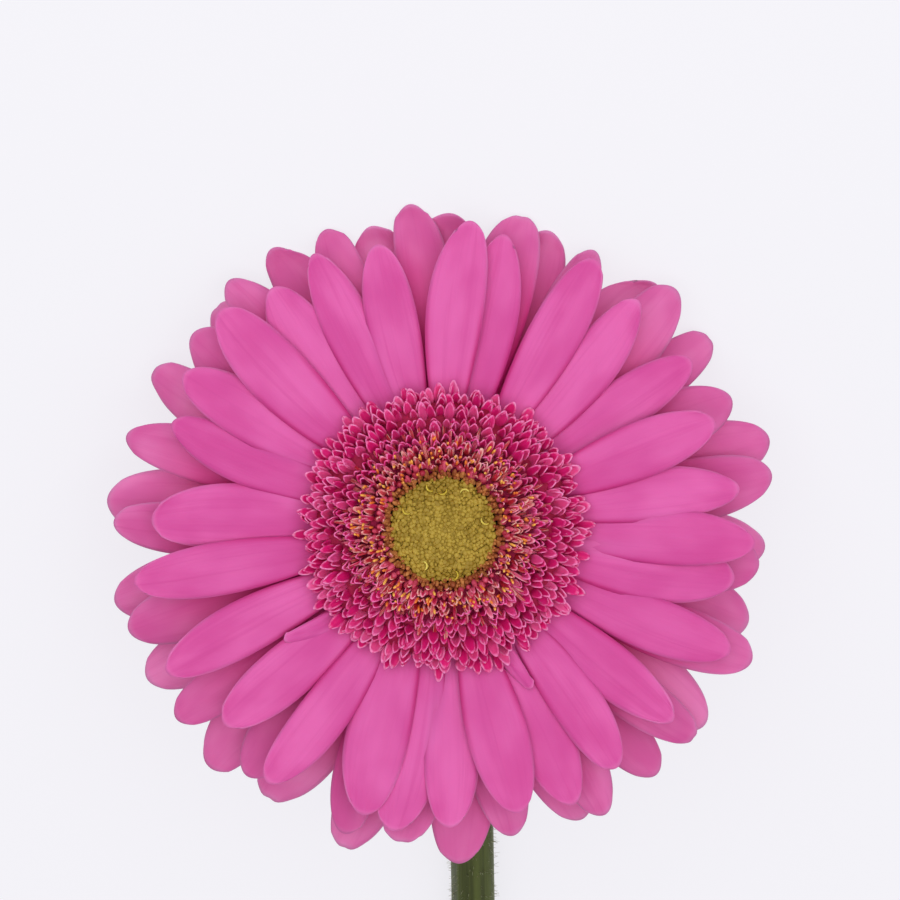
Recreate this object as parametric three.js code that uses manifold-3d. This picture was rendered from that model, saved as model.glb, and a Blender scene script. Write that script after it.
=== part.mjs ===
// A cut gerbera lying on a flat surface. Millimetres and degrees, +Z up, the surface at z = 0.
// The stem lies along +Y. The head is at the -Y end: it faces up and towards -Y, and rests on its lowest
// petals.
//
// The head has a frame of its own, in which its pieces are drawn: the origin is where the petals spring, z runs
// out of the face, and a bearing is an angle round that axis, from 0 at the head's lowest side.
import * as THREE from "three";
import { mergeVertices } from "three/addons/utils/BufferGeometryUtils.js";
import Module from "manifold-3d";

const wasm = await Module();
wasm.setup();

// ---- the head ----
const HEAD_TILT = 30; // how far the face leans from looking straight up
const HEAD_CENTRE = new THREE.Vector3(0, -146.31, 30);
const SEED = 7;
const GAP = 0.3; // between touching pieces

// ---- the petals: one row per whorl, the rearmost first ----
const PETAL_ROOT = 10; // radius at which a petal leaves the receptacle
const PETAL_THICKNESS = 0.65;
const CLAW_WIDTH = 2.0; // the narrow foot of a petal
const WHORLS = [
  { count: 21, reach: 53.2, width: 9.8, height: -2.1, rise: 0, fall: 27, first: 4 },
  { count: 21, reach: 52.4, width: 9.5, height: -1.1, rise: 4, fall: 17, first: 12.6 },
  { count: 28, reach: 48.4, width: 9.1, height: 0.2, rise: 9, fall: 8, first: 0.5 },
];
const FRONT = WHORLS.length - 1;
const TUCKED = [4, 7, 9, 14, 23, 25]; // front petals that sit lower, under both neighbours
const TUCK_DEPTH = 0.75;
// Short narrow petals that lie on the front ones
const SLIVERS = [
  { bearing: 228, lean: 7, reach: 31, width: 3.4, height: 0.7, rise: 10, fall: 2, roll: 24 },
  { bearing: 155, lean: -4, reach: 29, width: 2.8, height: 0.7, rise: 10, fall: 0, roll: -20 },
];
// How the front petals bunch as one goes round: [bunches in a turn, degrees, phase]
const CROWDING = [
  [1, 2.8, 78],
  [2, 2.5, -122],
  [3, 2.4, -20],
];
const REACH_SPREAD = 1.8;
const WIDTH_SPREAD = 0.13;
const BEARING_SPREAD = 1.6;
const LEAN_SPREAD = 3.4; // how far a tip turns sideways from its foot, in degrees of bearing
const ROLL_SPREAD = 7;
const PITCH_SPREAD = 3;
const ARCH = 0.55; // how far a petal's edges drop below its midrib
const PETAL_STATIONS = [0, 0.18, 0.36, 0.54, 0.71, 0.86, 0.955, 1];
const PETAL_LANES = 2;
const WIDEST_AT = 0.66; // share of a petal's length
const TIP_ROUNDNESS = 0.55; // under 1 is a round tip
const BLUNT_TIP = 0.985; // the outline is evaluated no nearer its pointed end than this
const TABLE_BLEND = 1.5; // a petal bends onto the surface over this height
const PRESS_DEPTH = 3.2; // the surface pushes up a petal that would reach further below it than this

// ---- the florets round the eye, and the eye ----
const EYE_RADIUS = 8.6;
const EYE_HEIGHT = 4.4;
const BUD_COUNT = 56;
const FLORET_RINGS = [
  { radius: 10.5, height: 3.3, count: 22, length: 4.6, width: 1.9, lean: 10 },
  { radius: 12.8, height: 3.9, count: 26, length: 5.2, width: 2.3, lean: 24 },
  { radius: 15.1, height: 3.9, count: 30, length: 5.5, width: 2.6, lean: 38 },
  { radius: 17.3, height: 3.4, count: 33, length: 5.7, width: 2.9, lean: 53 },
  { radius: 19.2, height: 2.8, count: 36, length: 5.7, width: 3.1, lean: 67 },
];
const FLORET_FLATNESS = 0.45;

// ---- the green parts ----
const INVOLUCRE_BASE = -14; // along the head's axis
const BRACT_ROWS = [
  { count: 12, length: 9.5, width: 3.4, radius: 7.4, height: -12.6, lean: 30 },
  { count: 15, length: 9.0, width: 3.3, radius: 9.6, height: -10.4, lean: 24 },
  { count: 18, length: 6.8, width: 3.1, radius: 11.6, height: -8.2, lean: 20 },
];
const NECK_BEND_RADIUS = 25;
const NECK_RADIUS = 3.45;
const CUT_END_RADIUS = 4.1;
const STEM_END_Y = 188.19;
const STEM_SIDES = 12;
const STEM_ARCH = 1.2; // the lying stem stands this far off the surface halfway
const STEM_BOW = 5.3; // and bows this far sideways
const NECK_SHARE = 0.1; // the bent neck's share of the stem's length
const CUT_SLANT = 25;

const rad = THREE.MathUtils.degToRad;
const lerp = THREE.MathUtils.lerp;

const headFrame = new THREE.Matrix4()
  .makeBasis(
    new THREE.Vector3(-1, 0, 0),
    new THREE.Vector3(0, -Math.cos(rad(HEAD_TILT)), -Math.sin(rad(HEAD_TILT))),
    new THREE.Vector3(0, -Math.sin(rad(HEAD_TILT)), Math.cos(rad(HEAD_TILT))),
  )
  .setPosition(HEAD_CENTRE);
const headFrameInverse = headFrame.clone().invert();

// A fixed scatter in -1..1 for the nth piece; channel keeps one use apart from another.
function scatter(n, channel) {
  const x = Math.sin(n * 12.9898 + channel * 78.233 + SEED) * 43758.5453;
  return 2 * (x - Math.floor(x)) - 1;
}

function outward(bearing) {
  return new THREE.Vector3(Math.sin(rad(bearing)), Math.cos(rad(bearing)), 0);
}

function sideways(bearing) {
  return new THREE.Vector3(Math.cos(rad(bearing)), -Math.sin(rad(bearing)), 0);
}

// ---- meshes and solids ----

function solidOf(geometry) {
  const bare = new THREE.BufferGeometry().setAttribute("position", geometry.getAttribute("position"));
  if (geometry.index) bare.setIndex(geometry.index);
  const merged = mergeVertices(bare, 1e-4);
  return new wasm.Manifold(
    new wasm.Mesh({
      numProp: 3,
      vertProperties: merged.attributes.position.array,
      triVerts: new Uint32Array(merged.index.array),
    }),
  );
}

function geometryOf(solid) {
  const mesh = solid.getMesh();
  return new THREE.BufferGeometry()
    .setAttribute("position", new THREE.BufferAttribute(mesh.vertProperties, 3))
    .setIndex(new THREE.BufferAttribute(mesh.triVerts, 1));
}

function fused(geometries) {
  return geometryOf(wasm.Manifold.union(geometries.map(solidOf)));
}

function named(name, geometry, color, roughness) {
  const mesh = new THREE.Mesh(geometry, new THREE.MeshStandardMaterial({ color, roughness, metalness: 0 }));
  mesh.name = name;
  return mesh;
}

// A closed blade between two skins that are cut into triangles alike. skin(station, lane, side) gives a point;
// lane runs from -1 to 1 across the blade, and side is 1 on its upper skin and -1 on its lower one.
function bladeGeometry(skin, stations, lanes) {
  const columns = lanes + 1;
  const rows = stations.length;
  const points = [];
  for (const side of [1, -1]) {
    for (const station of stations) {
      for (let j = 0; j < columns; j++) points.push(...skin(station, (2 * j) / lanes - 1, side).toArray());
    }
  }
  const upper = (i, j) => i * columns + j;
  const lower = (i, j) => rows * columns + i * columns + j;
  const faces = [];
  for (let i = 0; i < rows - 1; i++) {
    for (let j = 0; j < lanes; j++) {
      faces.push(upper(i, j), upper(i, j + 1), upper(i + 1, j + 1));
      faces.push(upper(i, j), upper(i + 1, j + 1), upper(i + 1, j));
      faces.push(lower(i, j), lower(i + 1, j + 1), lower(i, j + 1));
      faces.push(lower(i, j), lower(i + 1, j), lower(i + 1, j + 1));
    }
  }
  const rim = [];
  for (let j = 0; j < lanes; j++) rim.push([0, j]);
  for (let i = 0; i < rows - 1; i++) rim.push([i, lanes]);
  for (let j = lanes; j > 0; j--) rim.push([rows - 1, j]);
  for (let i = rows - 1; i > 0; i--) rim.push([i, 0]);
  rim.forEach(([i, j], k) => {
    const [m, n] = rim[(k + 1) % rim.length];
    faces.push(upper(i, j), lower(i, j), lower(m, n));
    faces.push(upper(i, j), lower(m, n), upper(m, n));
  });
  return new THREE.BufferGeometry()
    .setAttribute("position", new THREE.Float32BufferAttribute(points, 3))
    .setIndex(faces);
}

// A round bar along a list of centres, each with its radius. Sections stand square to the bar, and the last
// one is cut on the slant.
function barGeometry(centres, radii, sides, slant) {
  const points = [];
  centres.forEach((centre, i) => {
    const before = centres[Math.max(i - 1, 0)];
    const after = centres[Math.min(i + 1, centres.length - 1)];
    const along = after.clone().sub(before).normalize();
    const side = new THREE.Vector3(1, 0, 0).addScaledVector(along, -along.x).normalize();
    const up = new THREE.Vector3().crossVectors(side, along);
    for (let k = 0; k < sides; k++) {
      const turn = ((k + 0.5) / sides) * 2 * Math.PI;
      const point = centre.clone();
      point.addScaledVector(side, radii[i] * Math.cos(turn));
      point.addScaledVector(up, radii[i] * Math.sin(turn));
      const isCut = i === centres.length - 1;
      if (isCut) point.addScaledVector(along, radii[i] * Math.sin(turn) * Math.tan(rad(slant)));
      points.push(...point.toArray());
    }
  });
  const last = centres.length - 1;
  const at = (i, k) => i * sides + (k % sides);
  const faces = [];
  for (let i = 0; i < last; i++) {
    for (let k = 0; k < sides; k++) {
      faces.push(at(i, k), at(i + 1, k + 1), at(i, k + 1));
      faces.push(at(i, k), at(i + 1, k), at(i + 1, k + 1));
    }
  }
  for (let k = 1; k < sides - 1; k++) {
    faces.push(at(0, 0), at(0, k), at(0, k + 1));
    faces.push(at(last, 0), at(last, k + 1), at(last, k));
  }
  return new THREE.BufferGeometry()
    .setAttribute("position", new THREE.Float32BufferAttribute(points, 3))
    .setIndex(faces);
}

// A four-sided spindle planted at a bearing, leaning outward from the head's axis, broad face outward.
function spindle({ length, width, flatness, widest, sunk, radius, height, bearing, lean }) {
  const profile = [
    new THREE.Vector2(0, 0),
    new THREE.Vector2(width / 2, widest * length),
    new THREE.Vector2(0, length),
  ];
  const along = outward(bearing).multiplyScalar(Math.sin(rad(lean)));
  along.z = Math.cos(rad(lean));
  const broad = sideways(bearing);
  const facing = new THREE.Vector3().crossVectors(broad, along);
  const foot = outward(bearing).multiplyScalar(radius);
  foot.z = height;
  foot.addScaledVector(along, -sunk);
  return new THREE.LatheGeometry(profile, 4)
    .scale(1, 1, flatness)
    .applyMatrix4(new THREE.Matrix4().makeBasis(broad, along, facing).setPosition(foot));
}

// ---- petals ----

// Half the width of a petal at a share of its length, as a share of its greatest half width.
function petalOutline(share) {
  const s = Math.min(share, BLUNT_TIP);
  const rise = (WIDEST_AT * TIP_ROUNDNESS) / (1 - WIDEST_AT);
  return (s / WIDEST_AT) ** rise * ((1 - s) / (1 - WIDEST_AT)) ** TIP_ROUNDNESS;
}

function crowding(bearing) {
  return CROWDING.reduce((sum, [n, size, phase]) => sum + size * Math.sin(rad(n * bearing + phase)), 0);
}

// The fall at which a petal's tip would be PRESS_DEPTH under the surface.
function pressedFall(bearing, reach, height, rise) {
  const drop = Math.sin(rad(HEAD_TILT)) * Math.cos(rad(bearing)) * reach;
  const tipHeight = (drop - PRESS_DEPTH - HEAD_CENTRE.z) / Math.cos(rad(HEAD_TILT));
  const endSlope = (2 * (tipHeight - height)) / (reach - PETAL_ROOT) - Math.tan(rad(rise));
  return THREE.MathUtils.radToDeg(Math.atan(-endSlope));
}

// The nth petal of a whorl, as the numbers that its surface is made from.
function petalOf(whorl, n) {
  const { count, reach, width, height, rise, fall, first } = WHORLS[whorl];
  const key = whorl * 100 + n;
  const even = (n * 360) / count;
  const isFront = whorl === FRONT;
  const drift = isFront ? crowding(even) : 0;
  const petal = {
    bearing: even + first + drift + BEARING_SPREAD * scatter(key, 1),
    lean: LEAN_SPREAD * scatter(key, 2),
    reach: reach + REACH_SPREAD * scatter(key, 3),
    width: width * (1 + WIDTH_SPREAD * scatter(key, 4)),
    height: height - (isFront && TUCKED.includes(n) ? TUCK_DEPTH : 0),
    rise: rise + PITCH_SPREAD * scatter(key, 5),
    fall: fall + PITCH_SPREAD * scatter(key, 6),
    roll: ROLL_SPREAD * scatter(key, 7),
  };
  petal.fall = Math.min(petal.fall, pressedFall(petal.bearing, petal.reach, petal.height, petal.rise));
  return petal;
}

// Lifts a point of the head that would be under floorHeight onto it, with a smooth bend.
function laidOnTable(point, floorHeight) {
  const world = point.applyMatrix4(headFrame);
  const above = world.z - floorHeight;
  if (above < -TABLE_BLEND) world.z = floorHeight;
  else if (above < TABLE_BLEND) world.z = floorHeight + (above + TABLE_BLEND) ** 2 / (4 * TABLE_BLEND);
  return world.applyMatrix4(headFrameInverse);
}

function petalGeometry(petal) {
  const run = petal.reach - PETAL_ROOT;
  const startSlope = Math.tan(rad(petal.rise));
  const endSlope = -Math.tan(rad(petal.fall));
  const skin = (share, lane, side) => {
    const bearing = petal.bearing + petal.lean * share * share;
    const slope = lerp(startSlope, endSlope, share);
    const climb = run * (startSlope * share + ((endSlope - startSlope) * share * share) / 2);
    const half = Math.max(CLAW_WIDTH, petal.width * petalOutline(share)) / 2;
    const out = outward(bearing);
    const across = sideways(bearing);
    const up = new THREE.Vector3(0, 0, 1);
    const normal = up.clone().addScaledVector(out, -slope).normalize();
    const roll = rad(petal.roll * share);
    const point = out.multiplyScalar(PETAL_ROOT + run * share);
    point.z = petal.height + climb;
    point.addScaledVector(across, lane * half * Math.cos(roll));
    point.addScaledVector(normal, lane * half * Math.sin(roll) - ARCH * share * lane * lane);
    point.addScaledVector(normal, (side * PETAL_THICKNESS) / 2);
    return laidOnTable(point, side > 0 ? PETAL_THICKNESS : 0);
  };
  return bladeGeometry(skin, PETAL_STATIONS, PETAL_LANES);
}

function rayFlorets() {
  const top = WHORLS[FRONT].height + 0.9;
  const bottom = WHORLS[0].height - 0.5;
  const core = new THREE.CylinderGeometry(PETAL_ROOT + 1.6, PETAL_ROOT + 1.6, top - bottom, 32)
    .rotateX(Math.PI / 2)
    .translate(0, 0, (top + bottom) / 2);
  const petals = WHORLS.flatMap((whorl, w) =>
    Array.from({ length: whorl.count }, (_, n) => petalGeometry(petalOf(w, n))),
  );
  const slivers = SLIVERS.map(petalGeometry);
  return named("ray_florets", fused([core, ...petals, ...slivers]), 0xdc5aa4, 0.55);
}

// ---- the eye and the florets round it ----

function innerFlorets() {
  const bottom = WHORLS[FRONT].height + 0.9 + GAP;
  const bed = new THREE.LatheGeometry(
    [
      [EYE_RADIUS + GAP, bottom],
      [12.2, bottom],
      [20.2, bottom + 1.9],
      [20.6, bottom + 2.5],
      [18.2, bottom + 3.3],
      [14.6, bottom + 3.5],
      [11.0, bottom + 3.0],
      [EYE_RADIUS + GAP, bottom + 1.9],
      [EYE_RADIUS + GAP, bottom],
    ].map(([r, z]) => new THREE.Vector2(r, z)),
    36,
  ).rotateX(Math.PI / 2);
  const florets = FLORET_RINGS.flatMap((ring, r) =>
    Array.from({ length: ring.count }, (_, n) => {
      const key = 1000 * (r + 1) + n;
      return spindle({
        ...ring,
        bearing: ((n + (r % 2) / 2) * 360) / ring.count + 2 * scatter(key, 1),
        length: ring.length * (1 + 0.12 * scatter(key, 2)),
        lean: ring.lean + 6 * scatter(key, 3),
        flatness: FLORET_FLATNESS,
        widest: 0.66,
        sunk: 0.9,
      });
    }),
  );
  return named("inner_florets", fused([bed, ...florets]), 0xc02a74, 0.5);
}

function eye() {
  const bottom = WHORLS[FRONT].height + 0.9 + GAP;
  const dome = new THREE.LatheGeometry(
    [
      [0, bottom],
      [EYE_RADIUS - 0.6, bottom],
      [EYE_RADIUS - 0.3, EYE_HEIGHT - 1.5],
      [6.0, EYE_HEIGHT - 0.5],
      [3.0, EYE_HEIGHT - 0.1],
      [0, EYE_HEIGHT],
    ].map(([r, z]) => new THREE.Vector2(r, z)),
    24,
  ).rotateX(Math.PI / 2);
  const goldenAngle = 137.508;
  const buds = Array.from({ length: BUD_COUNT }, (_, n) => {
    const share = Math.sqrt((n + 0.5) / BUD_COUNT);
    return spindle({
      radius: share * (EYE_RADIUS - 1.2),
      height: EYE_HEIGHT - 1.2 * share ** 3,
      bearing: n * goldenAngle,
      lean: 22 * share,
      length: 1.7,
      width: 1.5,
      flatness: 1,
      widest: 0.6,
      sunk: 0.8,
    });
  });
  return named("eye", fused([dome, ...buds]), 0xa08a34, 0.7);
}

// ---- the green parts ----

function involucre() {
  const top = WHORLS[0].height - 0.5 - GAP;
  const cup = new THREE.LatheGeometry(
    [
      [0, INVOLUCRE_BASE],
      [4.6, INVOLUCRE_BASE],
      [7.2, INVOLUCRE_BASE + 1.6],
      [10.2, INVOLUCRE_BASE + 4.8],
      [11.9, INVOLUCRE_BASE + 8.2],
      [12.2, top],
      [0, top],
    ].map(([r, z]) => new THREE.Vector2(r, z)),
    30,
  ).rotateX(Math.PI / 2);
  const bracts = BRACT_ROWS.flatMap((row, r) =>
    Array.from({ length: row.count }, (_, n) => {
      const key = 2000 + 100 * r + n;
      return spindle({
        ...row,
        bearing: ((n + (r % 2) / 2) * 360) / row.count + 2 * scatter(key, 1),
        length: row.length * (1 + 0.06 * scatter(key, 2)),
        flatness: 0.5,
        widest: 0.45,
        sunk: 1.5,
      });
    }),
  );
  return named("involucre", fused([cup, ...bracts]), 0x6d8240, 0.75);
}

// The line of the stem's centre, from the involucre round the neck and along the surface to the cut end.
function stem() {
  const neck = new THREE.Vector3(0, 0, INVOLUCRE_BASE - GAP).applyMatrix4(headFrame);
  const restHeight = (radius) => radius * Math.cos(Math.PI / STEM_SIDES);
  const bendSteps = 9;
  const lieSteps = 22;
  const startAngle = 90 - HEAD_TILT;
  const dip = NECK_BEND_RADIUS * (1 - Math.cos(rad(startAngle)));
  const lead = (neck.z - restHeight(NECK_RADIUS) - STEM_ARCH - dip) / Math.sin(rad(startAngle));
  const bendStart = new THREE.Vector3(0, Math.cos(rad(startAngle)), -Math.sin(rad(startAngle)))
    .multiplyScalar(lead)
    .add(neck);
  const bow = (share) => {
    return -STEM_BOW * Math.sin(Math.PI * share ** 0.7) * THREE.MathUtils.smoothstep(share, 0, NECK_SHARE);
  };
  const centres = [neck];
  const radii = [NECK_RADIUS + 1.1];
  for (let i = 0; i <= bendSteps; i++) {
    const angle = startAngle * (1 - i / bendSteps);
    const y = NECK_BEND_RADIUS * (Math.sin(rad(startAngle)) - Math.sin(rad(angle)));
    const z = NECK_BEND_RADIUS * (Math.cos(rad(startAngle)) - Math.cos(rad(angle)));
    const x = bow((NECK_SHARE * i) / bendSteps);
    centres.push(new THREE.Vector3(x, bendStart.y + y, bendStart.z + z));
    radii.push(NECK_RADIUS + (i === 0 ? 0.3 : 0));
  }
  const from = centres[centres.length - 1];
  for (let i = 1; i <= lieSteps; i++) {
    const share = i / lieSteps;
    const radius = lerp(NECK_RADIUS, CUT_END_RADIUS, Math.sqrt(share));
    const arch = STEM_ARCH * (1 - share) * (1 + 2.4 * share);
    const x = bow(lerp(NECK_SHARE, 1, share));
    centres.push(new THREE.Vector3(x, lerp(from.y, STEM_END_Y, share), restHeight(radius) + arch));
    radii.push(radius);
  }
  return named("stem", barGeometry(centres, radii, STEM_SIDES, CUT_SLANT), 0x55632f, 0.6);
}

const head = new THREE.Group();
head.add(rayFlorets(), innerFlorets(), eye(), involucre());
head.applyMatrix4(headFrame);

const gerbera = new THREE.Group();
gerbera.add(head, stem());

export default gerbera;
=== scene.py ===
"""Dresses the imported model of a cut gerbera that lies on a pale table.

The head's pieces are drawn in the head's own frame, in millimetres: the origin is where the petals
spring, z runs out of the face, and a bearing is an angle round that axis, in degrees, from 0 at the
head's lowest side.
"""

from __future__ import annotations

import logging
import math
import random
from collections.abc import Callable, Sequence
from dataclasses import dataclass, field
from enum import Enum

import bmesh
import bpy
from mathutils import Matrix, Vector

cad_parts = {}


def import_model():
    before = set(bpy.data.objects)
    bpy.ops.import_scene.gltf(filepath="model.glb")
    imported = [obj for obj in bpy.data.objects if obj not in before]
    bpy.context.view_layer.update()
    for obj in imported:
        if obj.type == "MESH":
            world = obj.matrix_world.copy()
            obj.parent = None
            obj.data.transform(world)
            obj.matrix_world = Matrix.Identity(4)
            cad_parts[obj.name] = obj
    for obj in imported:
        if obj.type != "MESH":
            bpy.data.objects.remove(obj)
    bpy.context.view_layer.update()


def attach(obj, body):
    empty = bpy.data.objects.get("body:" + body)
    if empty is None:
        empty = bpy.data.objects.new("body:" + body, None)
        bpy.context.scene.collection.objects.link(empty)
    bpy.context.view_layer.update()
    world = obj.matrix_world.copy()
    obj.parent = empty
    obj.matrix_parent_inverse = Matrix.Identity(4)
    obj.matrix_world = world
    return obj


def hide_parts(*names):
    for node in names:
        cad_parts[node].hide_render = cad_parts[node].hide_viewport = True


LOG = logging.getLogger("gerbera")

MM = 0.001
HEAD_TILT = math.radians(30)
HEAD_CENTRE = Vector((0.0, -146.31, 30.0))
SEED = 7
BODY = "root"
Colour = tuple[float, float, float]
Place = Callable[[float, float], Vector]


def head_matrix() -> Matrix:
    """Gives the turn and shift from the head's frame to the table's, both in millimetres.

    Returns:
        The 4 x 4 matrix.
    """
    right = Vector((-1, 0, 0))
    upper = Vector((0, -math.cos(HEAD_TILT), -math.sin(HEAD_TILT)))
    face = Vector((0, -math.sin(HEAD_TILT), math.cos(HEAD_TILT)))
    turn = Matrix((right, upper, face)).transposed().to_4x4()
    return Matrix.Translation(HEAD_CENTRE) @ turn


HEAD = head_matrix()
HEAD_INVERSE = HEAD.inverted()
TO_METRES = Matrix.Scale(MM, 4)


def scatter(index: int, channel: int) -> float:
    """Gives a fixed scatter from -1 to 1, the same one that the solids are drawn with.

    Args:
        index: The number of the petal or floret.
        channel: The use that the number is for.

    Returns:
        The scattered number.
    """
    x = math.sin(index * 12.9898 + channel * 78.233 + SEED) * 43758.5453
    return 2 * (x - math.floor(x)) - 1


def spread(rng: random.Random, most: float) -> float:
    """Draws a number at most that far from 0 either way."""
    return rng.uniform(-most, most)


def outward(bearing: float) -> Vector:
    """Gives the direction away from the head's axis at a bearing in degrees."""
    return Vector((math.sin(math.radians(bearing)), math.cos(math.radians(bearing)), 0))


def sideways(bearing: float) -> Vector:
    """Gives the direction in which bearings grow, at a bearing in degrees."""
    return Vector((math.cos(math.radians(bearing)), -math.sin(math.radians(bearing)), 0))


def smoothstep(low: float, high: float, value: float) -> float:
    """Rises smoothly from 0 at low to 1 at high."""
    t = min(max((value - low) / (high - low), 0.0), 1.0)
    return t * t * (3 - 2 * t)


def staggered(row: int, n: int, count: int) -> float:
    """Gives the even bearing of the nth of a row's pieces, which stand between those of the row before."""
    return (n + 0.5 * (row % 2)) * 360 / count


def lerp(a: float, b: float, share: float) -> float:
    """Gives the number that lies at a share of the way from a to b."""
    return a + (b - a) * share


def linear(red: int, green: int, blue: int) -> Colour:
    """Turns a display colour, 0 to 255 each, into the linear one that the shaders take."""
    return tuple(
        c / 12.92 if c <= 0.04045 else ((c + 0.055) / 1.055) ** 2.4
        for c in (red / 255, green / 255, blue / 255)
    )


# ---- materials ----


class Shader:
    """A material's node tree, with short ways to add and join nodes."""

    def __init__(self, name: str) -> None:
        """Starts a material that holds one Principled shader.

        Args:
            name: The material's name.
        """
        self.material = bpy.data.materials.new(name)
        self.material.use_nodes = True
        self.nodes = self.material.node_tree.nodes
        self.links = self.material.node_tree.links
        self.surface = self.nodes["Principled BSDF"]

    def node(self, kind: str, **settings: object) -> bpy.types.Node:
        """Adds a node.

        Args:
            kind: The node's type.
            settings: Properties of the node, by name.

        Returns:
            The new node.
        """
        node = self.nodes.new(kind)
        for key, value in settings.items():
            setattr(node, key, value)
        return node

    def feed(self, socket: bpy.types.NodeSocket, value: object) -> None:
        """Gives an input its value, which is another node's output or a constant."""
        if isinstance(value, bpy.types.NodeSocket):
            self.links.new(value, socket)
        else:
            socket.default_value = value

    def maths(self, operation: str, a: object, b: object = 0.0) -> bpy.types.NodeSocket:
        """Adds a Math node.

        Args:
            operation: The operation's name.
            a: The first input.
            b: The second input.

        Returns:
            The result.
        """
        node = self.node("ShaderNodeMath", operation=operation)
        self.feed(node.inputs[0], a)
        self.feed(node.inputs[1], b)
        return node.outputs[0]

    def times(self, a: object, b: object) -> bpy.types.NodeSocket:
        """Multiplies two numbers."""
        return self.maths("MULTIPLY", a, b)

    def larger(self, a: object, b: object) -> bpy.types.NodeSocket:
        """Gives the larger of two numbers."""
        return self.maths("MAXIMUM", a, b)

    def off_middle(self, u: object) -> bpy.types.NodeSocket:
        """Gives how far a point is from a blade's middle line, from 0 there to 1 at either edge."""
        return self.maths("ABSOLUTE", self.maths("SUBTRACT", self.times(u, 2.0), 1.0))

    def ramp(self, value: object, low: float, high: float) -> bpy.types.NodeSocket:
        """Adds a smooth rise from 0 to 1 as a value goes from low to high."""
        node = self.node("ShaderNodeMapRange", interpolation_type="SMOOTHSTEP")
        self.feed(node.inputs["Value"], value)
        node.inputs["From Min"].default_value = low
        node.inputs["From Max"].default_value = high
        return node.outputs["Result"]

    def mix(self, factor: object, a: object, b: object) -> bpy.types.NodeSocket:
        """Adds a colour mix.

        Args:
            factor: How much of b there is.
            a: The first colour, an output or three linear numbers.
            b: The second colour, likewise.

        Returns:
            The mixed colour.
        """
        node = self.node("ShaderNodeMix", data_type="RGBA")
        self.feed(node.inputs["Factor"], factor)
        for socket, value in ((node.inputs["A"], a), (node.inputs["B"], b)):
            self.feed(socket, value if isinstance(value, bpy.types.NodeSocket) else (*value, 1.0))
        return node.outputs["Result"]

    def noise(
        self, vector: object, scale: float = 1.0, detail: float = 3.0, roughness: float = 0.55
    ) -> bpy.types.NodeSocket:
        """Adds a noise texture and gives its height, about 0.5 in the middle."""
        node = self.node("ShaderNodeTexNoise")
        self.feed(node.inputs["Vector"], vector)
        node.inputs["Scale"].default_value = scale
        node.inputs["Detail"].default_value = detail
        node.inputs["Roughness"].default_value = roughness
        return node.outputs["Fac"]

    def place(self) -> bpy.types.NodeSocket:
        """Gives the Object coordinates, in metres."""
        return self.node("ShaderNodeTexCoord").outputs["Object"]

    def along(self) -> tuple[bpy.types.NodeSocket, bpy.types.NodeSocket]:
        """Gives the piece's own u, across a blade or round a bar, and v, along it."""
        split = self.node("ShaderNodeSeparateXYZ")
        self.feed(split.inputs[0], self.node("ShaderNodeUVMap", uv_map="UVMap").outputs["UV"])
        return split.outputs["X"], split.outputs["Y"]

    def tone(self) -> bpy.types.NodeSocket:
        """Gives the number from -1 to 1 that each petal or floret has of its own."""
        return self.node("ShaderNodeAttribute", attribute_name="tone").outputs["Fac"]

    def join(self, x: object, y: object, z: object) -> bpy.types.NodeSocket:
        """Makes a vector of three numbers."""
        node = self.node("ShaderNodeCombineXYZ")
        for socket, value in zip(node.inputs, (x, y, z)):
            self.feed(socket, value)
        return node.outputs[0]

    def bump(self, height: object, distance: float, strength: float = 1.0) -> None:
        """Raises the surface by a height, from 0 to 1, times a distance in metres."""
        node = self.node("ShaderNodeBump")
        node.inputs["Distance"].default_value = distance
        node.inputs["Strength"].default_value = strength
        self.feed(node.inputs["Height"], height)
        self.links.new(node.outputs["Normal"], self.surface.inputs["Normal"])

    def finish(self, colour: object, roughness: object, **constants: object) -> bpy.types.Material:
        """Sets the shader's inputs.

        Args:
            colour: The base colour.
            roughness: The roughness.
            constants: Other inputs by name, with _ for a space.

        Returns:
            The material.
        """
        self.feed(self.surface.inputs["Base Color"], colour)
        self.feed(self.surface.inputs["Roughness"], roughness)
        for key, value in constants.items():
            self.surface.inputs[key.replace("_", " ")].default_value = value
        return self.material


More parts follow.
